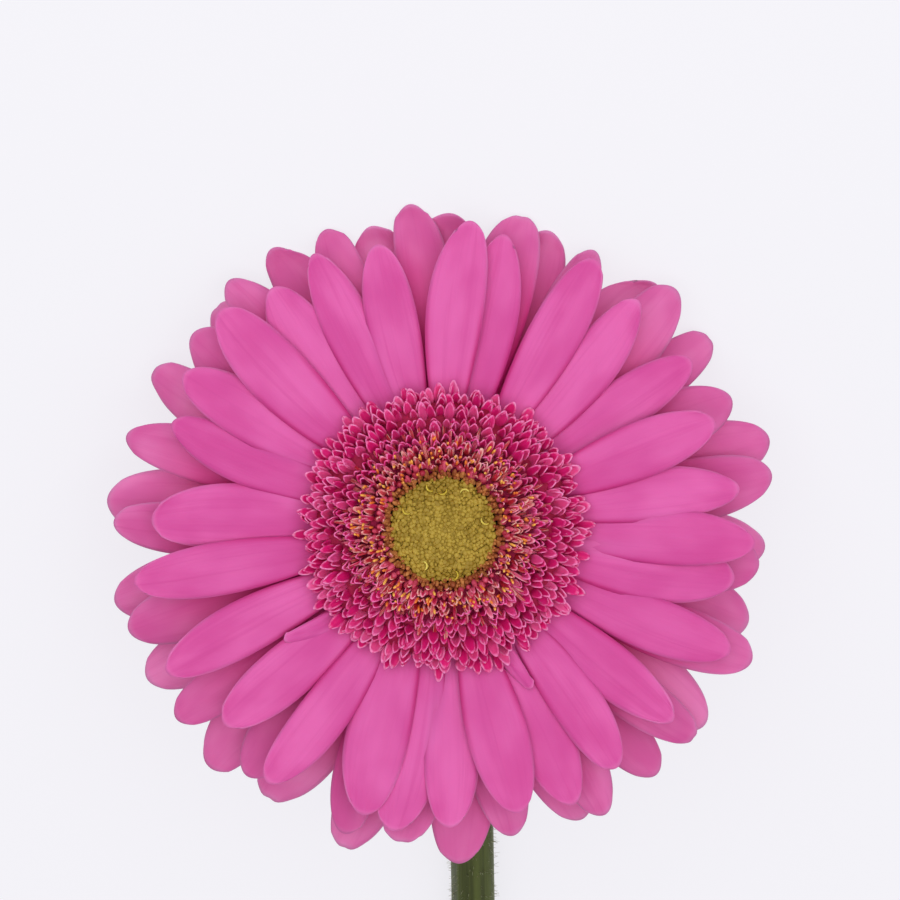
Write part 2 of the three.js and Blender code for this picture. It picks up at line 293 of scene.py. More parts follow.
@dataclass(frozen=True)
class PetalFinish:
    """A soft matt petal: streaked along its length, with painted shade at its foot (there partly its own
    deeper colour) and along its sides where other petals overlap it, and a thin painted highlight along its
    rim towards the tip and round the tip.
    """

    name: str
    body: Colour
    deep: Colour
    pale: Colour
    rim: Colour
    painted_shade: Colour
    sheen: float = 0.12
    shade_end: float = 0.34
    shade: float = 0.35
    body_share: float = 0.45
    streaks: float = 0.28
    side_shade: float = 0.65
    rim_highlight_strength: float = 0.45
    dullest: float = 0.34

    def make(self) -> bpy.types.Material:
        """Makes the material.

        Returns:
            The material, which reads the petal's UV map and tone.
        """
        s = Shader(self.name)
        u, v = s.along()
        tone = s.tone()
        edge = s.off_middle(u)
        shift = s.times(tone, 17.0)
        streak = s.noise(s.join(s.times(u, 9.0), s.times(v, 0.9), shift), detail=4.0, roughness=0.6)
        cloud = s.noise(s.join(s.times(u, 1.2), s.times(v, 2.4), shift), detail=2.0)
        colour = s.mix(s.ramp(cloud, 0.3, 0.72), self.deep, self.pale)
        colour = s.mix(self.body_share, colour, self.body)
        colour = s.mix(s.times(s.ramp(streak, 0.48, 0.72), self.streaks), colour, self.deep)
        # Painted shade at the foot, where the petal passes under the others and the ring; there it is partly
        # the petal's own deeper colour.
        foot = s.times(s.ramp(v, self.shade_end, self.shade_end * 0.3), self.shade)
        colour = s.mix(foot, colour, self.painted_shade)
        # Painted shade along the sides near the foot, where neighbouring petals overlap.
        side = s.times(s.ramp(edge, 0.72, 1.0), s.ramp(v, 0.72, 0.35))
        colour = s.mix(s.times(side, self.side_shade), colour, self.painted_shade)
        # Painted highlight: a thin paler band along the rim towards the tip, and round the tip itself.
        rim_highlight = s.larger(s.times(s.ramp(edge, 0.86, 1.0), s.ramp(v, 0.5, 0.9)), s.ramp(v, 0.94, 1.0))
        colour = s.mix(s.times(rim_highlight, self.rim_highlight_strength), colour, self.rim)
        colour = s.mix(s.times(s.ramp(tone, 0.1, 1.0), self.dullest), colour, self.deep)
        s.bump(streak, 0.00025, 0.5)
        return s.finish(
            colour,
            0.62,
            Sheen_Weight=self.sheen,
            Sheen_Roughness=0.5,
            Sheen_Tint=(*self.rim, 1.0),
            Specular_IOR_Level=0.25,
            Subsurface_Weight=0.12,
            Subsurface_Radius=(0.004, 0.0012, 0.0022),
            Subsurface_Scale=0.35,
        )


@dataclass(frozen=True)
class ScoopFinish:
    """A small petal-like floret: deep inside, with a pale lip round its tip that is painted highlight on the
    rolled rim, in patches; some florets are paler all over.
    """

    name: str
    deep: Colour
    body: Colour
    pale_and_highlight: Colour
    highlight_start: float
    highlight_strength: float
    darker: float = 0.35
    paler: float = 0.3

    def make(self) -> bpy.types.Material:
        """Makes the material.

        Returns:
            The material, which reads the floret's UV map and tone.
        """
        s = Shader(self.name)
        u, v = s.along()
        tone = s.tone()
        # Painted highlight on the rolled rim: along the sides towards the tip and round the tip, broken into
        # patches.
        side_highlight = s.times(s.ramp(s.off_middle(u), self.highlight_start, 1.0), s.ramp(v, 0.35, 0.8))
        patch = s.noise(s.join(s.times(u, 2.2), s.times(v, 2.2), s.times(tone, 31.0)))
        rim_highlight = s.times(s.larger(side_highlight, s.ramp(v, 0.84, 1.0)), s.ramp(patch, 0.36, 0.6))
        colour = s.mix(s.ramp(v, 0.05, 0.62), self.deep, self.body)
        colour = s.mix(s.times(s.ramp(tone, 0.0, 1.0), self.darker), colour, self.deep)
        colour = s.mix(s.times(s.ramp(tone, 0.0, -1.0), self.paler), colour, self.pale_and_highlight)
        colour = s.mix(s.times(rim_highlight, self.highlight_strength), colour, self.pale_and_highlight)
        streak = s.noise(s.join(s.times(u, 5.0), v, s.times(tone, 9.0)))
        s.bump(streak, 0.0002, 0.5)
        return s.finish(
            colour,
            0.45,
            Specular_IOR_Level=0.32,
            Sheen_Weight=0.06,
            Sheen_Tint=(*self.pale_and_highlight, 1.0),
            Subsurface_Weight=0.15,
            Subsurface_Radius=(0.003, 0.0006, 0.0012),
            Subsurface_Scale=0.3,
        )


@dataclass(frozen=True)
class MottledFinish:
    """A plain plant skin: two colours that drift into each other, and a fine grain."""

    name: str
    dark: Colour
    light: Colour
    scale: float
    grain: float
    roughness: float = 0.6
    relief: float = 0.0001
    sheen: float = 0.0
    tone_share: float = 0.22
    grain_strength: float = 0.3

    def make(self) -> bpy.types.Material:
        """Makes the material.

        Returns:
            The material, which reads Object coordinates and the tone.
        """
        s = Shader(self.name)
        where = s.place()
        drift = s.maths("ADD", s.noise(where, self.scale), s.times(s.tone(), self.tone_share))
        colour = s.mix(s.ramp(drift, 0.3, 0.7), self.dark, self.light)
        grain = s.noise(where, self.grain, 2.0)
        colour = s.mix(s.times(s.ramp(grain, 0.5, 0.75), self.grain_strength), colour, self.dark)
        s.bump(grain, self.relief)
        return s.finish(colour, self.roughness, Sheen_Weight=self.sheen, Sheen_Tint=(*self.light, 1.0))


@dataclass(frozen=True)
class BractFinish:
    """A pointed bract: streaked green, paler at its edges and brownish at its tip."""

    name: str
    body: Colour
    deep: Colour
    edge: Colour
    tip: Colour
    darker: float = 0.3
    edge_strength: float = 0.55
    tip_strength: float = 0.7

    def make(self) -> bpy.types.Material:
        """Makes the material.

        Returns:
            The material, which reads the bract's UV map and tone.
        """
        s = Shader(self.name)
        u, v = s.along()
        tone = s.tone()
        shift = s.times(tone, 17.0)
        streak = s.noise(s.join(s.times(u, 7.0), s.times(v, 1.4), shift), roughness=0.6)
        colour = s.mix(s.ramp(streak, 0.35, 0.7), self.deep, self.body)
        colour = s.mix(s.times(s.ramp(tone, 0.0, 1.0), self.darker), colour, self.deep)
        colour = s.mix(s.times(s.ramp(s.off_middle(u), 0.7, 0.95), self.edge_strength), colour, self.edge)
        colour = s.mix(s.times(s.ramp(v, 0.72, 1.0), self.tip_strength), colour, self.tip)
        s.bump(streak, 0.0002, 0.6)
        return s.finish(colour, 0.65, Sheen_Weight=0.25, Sheen_Tint=(*self.edge, 1.0))


@dataclass(frozen=True)
class StalkFinish:
    """The stem's skin: olive, ribbed and streaked along its length, and reddish towards the cut."""

    name: str
    dark: Colour
    light: Colour
    blush: Colour
    speckles: float = 0.25
    blush_strength: float = 0.35

    @staticmethod
    def round_noise(
        s: Shader, across: float, along: float, detail: float, roughness: float
    ) -> bpy.types.NodeSocket:
        """Adds a noise that runs round the stem without a seam.

        Args:
            s: The shader that it is added to.
            across: Its scale round the stem.
            along: Its scale along the stem.
            detail: Its detail.
            roughness: Its roughness.

        Returns:
            The noise.
        """
        u, v = s.along()
        turn = s.times(u, 2 * math.pi)
        ring_x, ring_y = s.times(s.maths("COSINE", turn), across), s.times(s.maths("SINE", turn), across)
        return s.noise(s.join(ring_x, ring_y, s.times(v, along)), detail=detail, roughness=roughness)

    def make(self) -> bpy.types.Material:
        """Makes the material.

        Returns:
            The material, which reads the stem's UV map.
        """
        s = Shader(self.name)
        _, v = s.along()
        ribs = self.round_noise(s, 3.2, 7.0, 4.0, 0.65)
        speck = self.round_noise(s, 9.0, 220.0, 2.0, 0.55)
        colour = s.mix(s.ramp(ribs, 0.32, 0.68), self.dark, self.light)
        colour = s.mix(s.times(s.ramp(speck, 0.55, 0.75), self.speckles), colour, self.light)
        colour = s.mix(s.times(s.ramp(v, 0.8, 1.0), self.blush_strength), colour, self.blush)
        s.bump(ribs, 0.0004, 0.7)
        return s.finish(
            colour,
            0.5,
            Sheen_Weight=0.35,
            Sheen_Roughness=0.4,
            Sheen_Tint=(*self.light, 1.0),
            Specular_IOR_Level=0.35,
        )


PETAL_FACE = PetalFinish(
    "petal_face",
    linear(224, 91, 169),
    linear(204, 61, 143),
    linear(234, 108, 181),
    linear(236, 138, 196),
    linear(198, 2, 108),
)
# The middle whorl: its painted shade runs most of the way to the tip, where it lies under the front petals.
REAR_FACE = PetalFinish(
    "rear_petal_face",
    linear(222, 102, 169),
    linear(200, 68, 142),
    linear(232, 127, 186),
    linear(214, 140, 188),
    linear(212, 6, 116),
    shade_end=0.88,
    shade=0.9,
)
# The lowest, backmost whorl: painted lighter than the middle whorl to offset the real shade it lies in under
# the upper petals, and with painted shade running most of the way to the tip.
LOW_FACE = PetalFinish(
    "low_petal_face",
    linear(230, 114, 179),
    linear(208, 80, 151),
    linear(238, 139, 193),
    linear(210, 142, 186),
    linear(216, 12, 120),
    shade_end=0.8,
    shade=0.85,
)
PETAL_BACK = PetalFinish(
    "petal_back",
    linear(218, 112, 170),
    linear(196, 86, 146),
    linear(228, 138, 188),
    linear(238, 166, 206),
    linear(196, 90, 146),
    sheen=0.2,
)
SCOOP = ScoopFinish("scoop", linear(184, 2, 88), linear(226, 28, 124), linear(255, 140, 198), 0.68, 0.78)
PINK_SCOOP = ScoopFinish(
    "pink_scoop", linear(182, 0, 88), linear(230, 34, 130), linear(255, 160, 212), 0.68, 0.8
)
# The cream- and rose-tipped florets: the pale lip at their tips is partly the tips' own colour and partly
# painted highlight.
CREAM_TIP = ScoopFinish(
    "cream_tip", linear(178, 20, 34), linear(204, 44, 68), linear(255, 192, 184), 0.6, 1.0
)
ROSE_TIP = ScoopFinish("rose_tip", linear(178, 10, 50), linear(210, 38, 94), linear(255, 164, 190), 0.6, 1.0)
YOUNG_BUD = MottledFinish("young_bud", linear(176, 36, 66), linear(226, 88, 122), 900.0, 3000.0, 0.5)
DARK_BUD = MottledFinish("dark_bud", linear(150, 72, 34), linear(198, 128, 66), 900.0, 3000.0, 0.6)
ANTHER = MottledFinish("anther", linear(242, 122, 44), linear(255, 190, 88), 900.0, 4000.0, 0.45, 0.00005)
CURL = MottledFinish("yellow_curl", linear(200, 176, 46), linear(228, 212, 96), 900.0, 4000.0, 0.45, 0.00005)
BUD = MottledFinish("bud", linear(152, 124, 26), linear(182, 154, 52), 240.0, 3800.0, 0.62, 0.0001)
BED = MottledFinish("floret_bed", linear(158, 4, 62), linear(184, 22, 84), 700.0, 3000.0, 0.8)
EYE_BED = MottledFinish("eye_bed", linear(158, 130, 40), linear(174, 146, 50), 700.0, 3000.0, 0.8)
CUP = MottledFinish("cup", linear(74, 92, 48), linear(104, 120, 68), 260.0, 2600.0, 0.7, 0.0002, 0.3)
BRACT = BractFinish(
    "bract", linear(116, 136, 76), linear(82, 102, 52), linear(156, 168, 116), linear(104, 74, 60)
)
STALK = StalkFinish("stalk", linear(57, 64, 24), linear(84, 94, 42), linear(112, 88, 54))
PITH = MottledFinish("pith", linear(150, 160, 96), linear(206, 210, 156), 800.0, 3000.0, 0.55, 0.0003)
DOWN = MottledFinish("down", linear(140, 146, 108), linear(190, 194, 160), 500.0, 3000.0, 0.6)


# ---- meshes ----


class Blades:
    """One mesh of many thin blades or small bodies, each a simple shape bent into place."""

    BATCH = 80
    MERGE = 0.001

    def __init__(self) -> None:
        """Starts an empty mesh with a UV map and a tone for each piece."""
        self.store, self.bm = self.empty(), self.empty()
        self.tone = self.bm.verts.layers.float["tone"]
        self.waiting = 0

    @staticmethod
    def empty() -> bmesh.types.BMesh:
        """Makes an empty bmesh with the layers that the finishes read."""
        bm = bmesh.new()
        bm.loops.layers.uv.new("UVMap")
        bm.verts.layers.float.new("tone")
        return bm

    def gather(self) -> None:
        """Moves the present batch into the store, because operators slow down as a mesh grows."""
        mesh = bpy.data.meshes.new("batch")
        self.bm.to_mesh(mesh)
        self.bm.free()
        self.store.from_mesh(mesh)
        bpy.data.meshes.remove(mesh)
        self.bm = self.empty()
        self.tone = self.bm.verts.layers.float["tone"]
        self.waiting = 0

    def blade(self, lanes: int, stations: int, place: Place, tone: float, slot: int = 0) -> None:
        """Adds a blade.

        Args:
            lanes: The number of faces across it.
            stations: The number of faces along it.
            place: Gives the point at a lane, -1 to 1 across, and a share, 0 to 1 along.
            tone: The blade's own number.
            slot: The material's place in the piece's list.
        """
        grid = bmesh.ops.create_grid(
            self.bm, x_segments=lanes, y_segments=stations, size=1.0, calc_uvs=True
        )
        for vert in grid["verts"]:
            vert.co = place(vert.co.x, (vert.co.y + 1) / 2)
        self.dress(grid["verts"], tone, slot)

    def turned(self, profile: Sequence[tuple[float, float]], steps: int) -> None:
        """Adds a body turned round the head's axis.

        Args:
            profile: Its outline as radii and heights, which starts and ends on the axis or closes on itself.
            steps: The number of faces round it.
        """
        verts = [self.bm.verts.new((radius, 0, z)) for radius, z in profile]
        edges = [self.bm.edges.new(pair) for pair in zip(verts, verts[1:])]
        if profile[0][0] > 0:
            edges.append(self.bm.edges.new((verts[-1], verts[0])))
        axis, centre = (0, 0, 1), (0, 0, 0)
        outline = verts + edges
        bmesh.ops.spin(
            self.bm, geom=outline, axis=axis, cent=centre, angle=2 * math.pi, steps=steps, use_merge=True
        )
        bmesh.ops.remove_doubles(self.bm, verts=self.bm.verts, dist=self.MERGE)
        bmesh.ops.recalc_face_normals(self.bm, faces=self.bm.faces)
        self.dress(list(self.bm.verts), 0.0)

    def dress(self, verts: Sequence[bmesh.types.BMVert], tone: float, slot: int = 0) -> None:
        """Gives the faces of some new vertices their tone, material and smooth shading."""
        for vert in verts:
            vert[self.tone] = tone
        for face in {face for vert in verts for face in vert.link_faces}:
            face.material_index = slot
            face.smooth = True
        self.waiting += 1
        if self.waiting >= self.BATCH:
            self.gather()

    def bud(self, matrix: Matrix, around: int, rings: int, tone: float, slot: int = 0) -> None:
        """Adds a ball, stretched and placed by a matrix."""
        ball = bmesh.ops.create_uvsphere(
            self.bm, u_segments=around, v_segments=rings, radius=1.0, matrix=matrix
        )
        self.dress(ball["verts"], tone, slot)

    def rod(self, points: Sequence[Vector], radii: Sequence[float], sides: int, tone: float) -> None:
        """Adds a thin round rod, closed at both ends.

        Args:
            points: The centres of its rings.
            radii: Their radii.
            sides: The number of faces round it.
            tone: The rod's own number.
        """
        loop = list(bmesh.ops.create_circle(self.bm, cap_ends=True, segments=sides, radius=1.0)["verts"])
        cap = loop[0].link_faces[0]
        made = list(loop)
        self.lay_ring(loop, points, radii, 0)
        for i in range(1, len(points)):
            grown = bmesh.ops.extrude_face_region(self.bm, geom=[cap])["geom"]
            if i > 1:
                bmesh.ops.delete(self.bm, geom=[cap], context="FACES_ONLY")
            cap = next(g for g in grown if isinstance(g, bmesh.types.BMFace))
            loop = [corner.vert for corner in cap.loops]
            self.lay_ring(loop, points, radii, i)
            made += loop
        self.dress(made, tone)

    @staticmethod
    def lay_ring(
        loop: Sequence[bmesh.types.BMVert], points: Sequence[Vector], radii: Sequence[float], i: int
    ) -> None:
        """Lays one ring of a rod square to its line."""
        along = (points[min(i + 1, len(points) - 1)] - points[max(i - 1, 0)]).normalized()
        turn = along.to_track_quat("Z", "Y").to_matrix()
        for k, vert in enumerate(loop):
            angle = 2 * math.pi * k / len(loop)
            vert.co = points[i] + turn @ Vector((math.cos(angle), math.sin(angle), 0)) * radii[i]

    def finish(
        self,
        name: str,
        node: str,
        slot: str,
        finishes: Sequence[object],
        thickness: float = 0.0,
        back: int = 0,
        in_head: bool = True,
    ) -> bpy.types.Object:
        """Makes the piece.

        Args:
            name: The piece's name.
            node: The solid that it stands for.
            slot: The record's material slot; it is not used.
            finishes: Its finishes, in order.
            thickness: The wall that blades are given, in millimetres, or 0 for closed bodies.
            back: How many places on the list the back's finish is from the front's.
            in_head: Whether the mesh is in the head's frame.

        Returns:
            The finished object.
        """
        self.gather()
        place = TO_METRES @ HEAD if in_head else TO_METRES
        bmesh.ops.transform(self.store, matrix=place, verts=self.store.verts)
        mesh = bpy.data.meshes.new(name)
        self.store.to_mesh(mesh)
        self.store.free()
        self.bm.free()
        piece = bpy.data.objects.new(name, mesh)
        bpy.context.scene.collection.objects.link(piece)
        for finish in finishes:
            mesh.materials.append(finish.make())
        if thickness:
            wall = piece.modifiers.new("wall", "SOLIDIFY")
            wall.thickness = thickness * MM
            wall.offset = 0.0
            wall.use_even_offset = False
            wall.material_offset = back
        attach(piece, BODY)
        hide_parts(node)
        LOG.info("%s: %d faces", name, len(mesh.polygons))
        return piece


# ---- the petals ----


@dataclass(frozen=True)
class Whorl:
    """One layer of petals: rise and fall are the slopes at foot and tip, and first is its first bearing."""

    count: int
    reach: float
    width: float
    height: float
    rise: float
    fall: float
    first: float
    tip: float
    ruffle: float


@dataclass(frozen=True)
class Petal:
    """The numbers that one petal's surface is made from."""

    bearing: float
    lean: float
    reach: float
    width: float
    height: float
    rise: float
    fall: float
    roll: float
    tip: float
    notch: float
    cup: float
    ruffle: float
    floor: float
    tone: float


@dataclass
class RayFlorets:
    """The large petals, in two whorls behind and one in front."""

    root: float = 10.0
    thickness: float = 0.4
    foot_width: float = 2.0
    whorls: tuple[Whorl, ...] = (
        Whorl(21, 53.2, 9.8, -2.1, 0, 27, 4, 2.3, 0.45),
        Whorl(21, 52.4, 9.5, -1.1, 4, 17, 12.6, 2.2, 0.35),
        Whorl(28, 48.4, 9.1, 0.2, 9, 8, 0.5, 1.95, 0.15),
    )
    # Short narrow petals on the front ones: bearing, lean, reach, width, height, rise, fall, roll
    slivers: tuple[tuple[float, ...], ...] = (
        (228, 7, 31, 3.4, 0.7, 10, 2, 24),
        (155, -4, 29, 2.8, 0.7, 10, 0, -20),
    )
    tucked: tuple[int, ...] = (4, 7, 9, 14, 23, 25)  # front petals that lie under both neighbours
    tuck_depth: float = 0.75
    # How the front petals bunch as one goes round: bunches in a turn, degrees, phase
    crowding: tuple[tuple[int, float, float], ...] = ((1, 2.8, 78), (2, 2.5, -122), (3, 2.4, -20))
    reach_spread: float = 1.8
    width_spread: float = 0.13
    bearing_spread: float = 1.6
    lean_spread: float = 3.4
    roll_spread: float = 7.0
    pitch_spread: float = 3.0
    tip_spread: float = 0.2
    rear_spread: float = 0.3  # in the height of the rear petals' feet
    front_sink: float = 0.4  # of every other front petal's foot
    notch_spread: float = 1.6
    notch_threshold: float = 1.1  # a deeper draw than this gives a notched tip
    notch_width: float = 0.28
    ruffle_waves: float = 1.7
    cup: float = 0.5
    arch: float = 0.55
    rib_height: float = 0.07
    ribs: int = 3
    widest_at: float = 0.66
    tip_roundness: float = 0.55
    end_past: float = 0.866
    table_blend: float = 1.5
    table_gap: float = 0.03
    layer_step: float = 0.45  # between the floors of two layers, where petals lie on the table
    pair_step: float = 0.2
    press_depth: float = 3.2
    lanes: int = 12
    stations: int = 30
    row_easing: float = 1.25  # over 1 draws the grid's rows together towards the tip

    def pressed_fall(self, bearing: float, reach: float, height: float, rise: float) -> float:
        """Gives the fall at which a petal's tip would be the press depth under the table.

        Args:
            bearing: The petal's bearing, in degrees.
            reach: The radius of its tip.
            height: The height of its foot.
            rise: Its rise at its foot, in degrees.

        Returns:
            The fall, in degrees.
        """
        drop = math.sin(HEAD_TILT) * math.cos(math.radians(bearing)) * reach
        tip_height = (drop - self.press_depth - HEAD_CENTRE.z) / math.cos(HEAD_TILT)
        end_slope = 2 * (tip_height - height) / (reach - self.root) - math.tan(math.radians(rise))
        return math.degrees(math.atan(-end_slope))

    def petal(self, layer: int, n: int) -> Petal:
        """Draws the nth petal of a whorl.

        Args:
            layer: The whorl's number, from the back.
            n: The petal's number in it.

        Returns:
            The petal.
        """
        whorl = self.whorls[layer]
        front = layer == len(self.whorls) - 1
        key = layer * 100 + n
        even = n * 360 / whorl.count
        drift = sum(a * math.sin(math.radians(k * even + p)) for k, a, p in self.crowding) if front else 0
        if not front:
            sink = self.rear_spread * scatter(key, 11)
        elif n in self.tucked:
            sink = self.tuck_depth
        else:
            sink = self.front_sink * (n % 2)
        bearing = even + whorl.first + drift + self.bearing_spread * scatter(key, 1)
        reach = whorl.reach + self.reach_spread * scatter(key, 3)
        height = whorl.height - sink
        rise = whorl.rise + self.pitch_spread * scatter(key, 5)
        fall = whorl.fall + self.pitch_spread * scatter(key, 6)
        return Petal(
            bearing=bearing,
            lean=self.lean_spread * scatter(key, 2),
            reach=reach,
            width=whorl.width * (1 + self.width_spread * scatter(key, 4)),
            height=height,
            rise=rise,
            fall=min(fall, self.pressed_fall(bearing, reach, height, rise)),
            roll=self.roll_spread * scatter(key, 7),
            tip=whorl.tip + self.tip_spread * scatter(key, 8),
            notch=0.0 if front else max(0.0, self.notch_spread * scatter(key, 9) - self.notch_threshold),
            cup=self.cup * (1 + scatter(key, 10)),
            ruffle=whorl.ruffle,
            floor=self.layer_step * layer + self.pair_step * (n % 2),
            tone=scatter(key, 12),
        )

    def half_width(self, petal: Petal, share: float) -> float:
        """Gives half the petal's width at a share of its length."""
        rise = self.widest_at * self.tip_roundness / (1 - self.widest_at)
        if share < self.widest_at:
            narrowing = ((1 - share) / (1 - self.widest_at)) ** self.tip_roundness
            swell = (share / self.widest_at) ** rise * narrowing
        else:
            past = self.end_past * (share - self.widest_at) / (1 - self.widest_at)
            swell = (1 - past**petal.tip) ** (1 / petal.tip)
        return max(self.foot_width, petal.width * swell) / 2

    def on_table(self, point: Vector, floor: float) -> Vector:
        """Lifts a point that would be under a height onto it, with a smooth bend."""
        world = HEAD @ point
        floor += self.thickness / 2 + self.table_gap
        above = world.z - floor
        if above < -self.table_blend:
            world.z = floor
        elif above < self.table_blend:
            world.z = floor + (above + self.table_blend) ** 2 / (4 * self.table_blend)
        return HEAD_INVERSE @ world

    def surface(self, petal: Petal) -> Place:
        """Gives the function that bends a flat grid into a petal.

        Args:
            petal: The petal.

        Returns:
            The function, from lane and share to a point in the head's frame.
        """
        run = petal.reach - self.root
        start, end = math.tan(math.radians(petal.rise)), -math.tan(math.radians(petal.fall))

        def place(lane: float, row: float) -> Vector:
            """Bends one point of the grid."""
            share = 1 - (1 - row) ** self.row_easing
            half = self.half_width(petal, share)
            near_tip = smoothstep(0.8, 1.0, share)
            past = max(0.0, (share - self.widest_at) / (1 - self.widest_at))
            rounding = (1 - self.end_past) * (1 - self.widest_at) * past**2 * lane * lane
            notch = petal.notch * near_tip * math.exp(-((lane / self.notch_width) ** 2)) / run
            length = share - rounding - notch
            bearing = petal.bearing + petal.lean * share * share
            slope = lerp(start, end, share)
            out, across = outward(bearing), sideways(bearing)
            normal = (Vector((0, 0, 1)) - out * slope).normalized()
            roll = math.radians(petal.roll * share)
            point = out * (self.root + run * length)
            point.z = petal.height + run * (start * share + (end - start) * share * share / 2)
            ribs = self.rib_height * math.cos(self.ribs * math.pi * lane)
            ribs *= smoothstep(0.05, 0.3, share) * (1 - near_tip)
            cup = petal.cup * near_tip * abs(lane) ** 3
            wave = math.sin(2 * math.pi * (self.ruffle_waves * share + petal.tone) + 1.3 * lane)
            cup += petal.ruffle * wave * lane * lane * smoothstep(0.3, 0.7, share)
            point += across * (lane * half * math.cos(roll))
            point += normal * (lane * half * math.sin(roll) - self.arch * share * lane * lane + ribs + cup)
            return self.on_table(point, petal.floor)

        return place

    def build(self) -> bpy.types.Object:
        """Builds all the petals.

        Returns:
            The piece.
        """
        blades = Blades()
        for layer, whorl in enumerate(self.whorls):
            slot = 2 * (len(self.whorls) - 1 - layer)
            for n in range(whorl.count):
                petal = self.petal(layer, n)
                blades.blade(self.lanes, self.stations, self.surface(petal), petal.tone, slot)
        for n, sliver in enumerate(self.slivers):
            tone = -0.3 - 0.4 * n
            petal = Petal(*sliver, tip=1.9, notch=0.0, cup=0.4, ruffle=0.1, floor=1.0, tone=tone)
            blades.blade(self.lanes, self.stations, self.surface(petal), tone)
        finishes = (PETAL_FACE, PETAL_BACK, REAR_FACE, PETAL_BACK, LOW_FACE, PETAL_BACK)
        return blades.finish("petals", "ray_florets", "petals", finishes, self.thickness, back=1)


# ---- the florets round the eye ----


@dataclass(frozen=True)
class Ring:
    """A ring of small blades that stand round the eye."""

    radius: float
    height: float
    count: int
    length: float
    width: float
    lean: float
    slot: int
    curl: tuple[float, float] = (0.0, 42.0)
    lanes: int = 4
    stations: int = 7


def tipped(
    radius: float, height: float, count: int, length: float, width: float, lean: float, slot: int
) -> Ring:
    """Gives a ring of small florets whose tips bend outward."""
    return Ring(radius, height, count, length, width, lean, slot, (-70.0, 15.0), 4, 5)


def lobed(radius: float, height: float, count: int, length: float, lean: float, slot: int) -> Ring:
    """Gives a ring of narrow lobes that curl right back."""
    return Ring(radius, height, count, length, 0.52, lean, slot, (-190.0, -80.0), 2, 7)


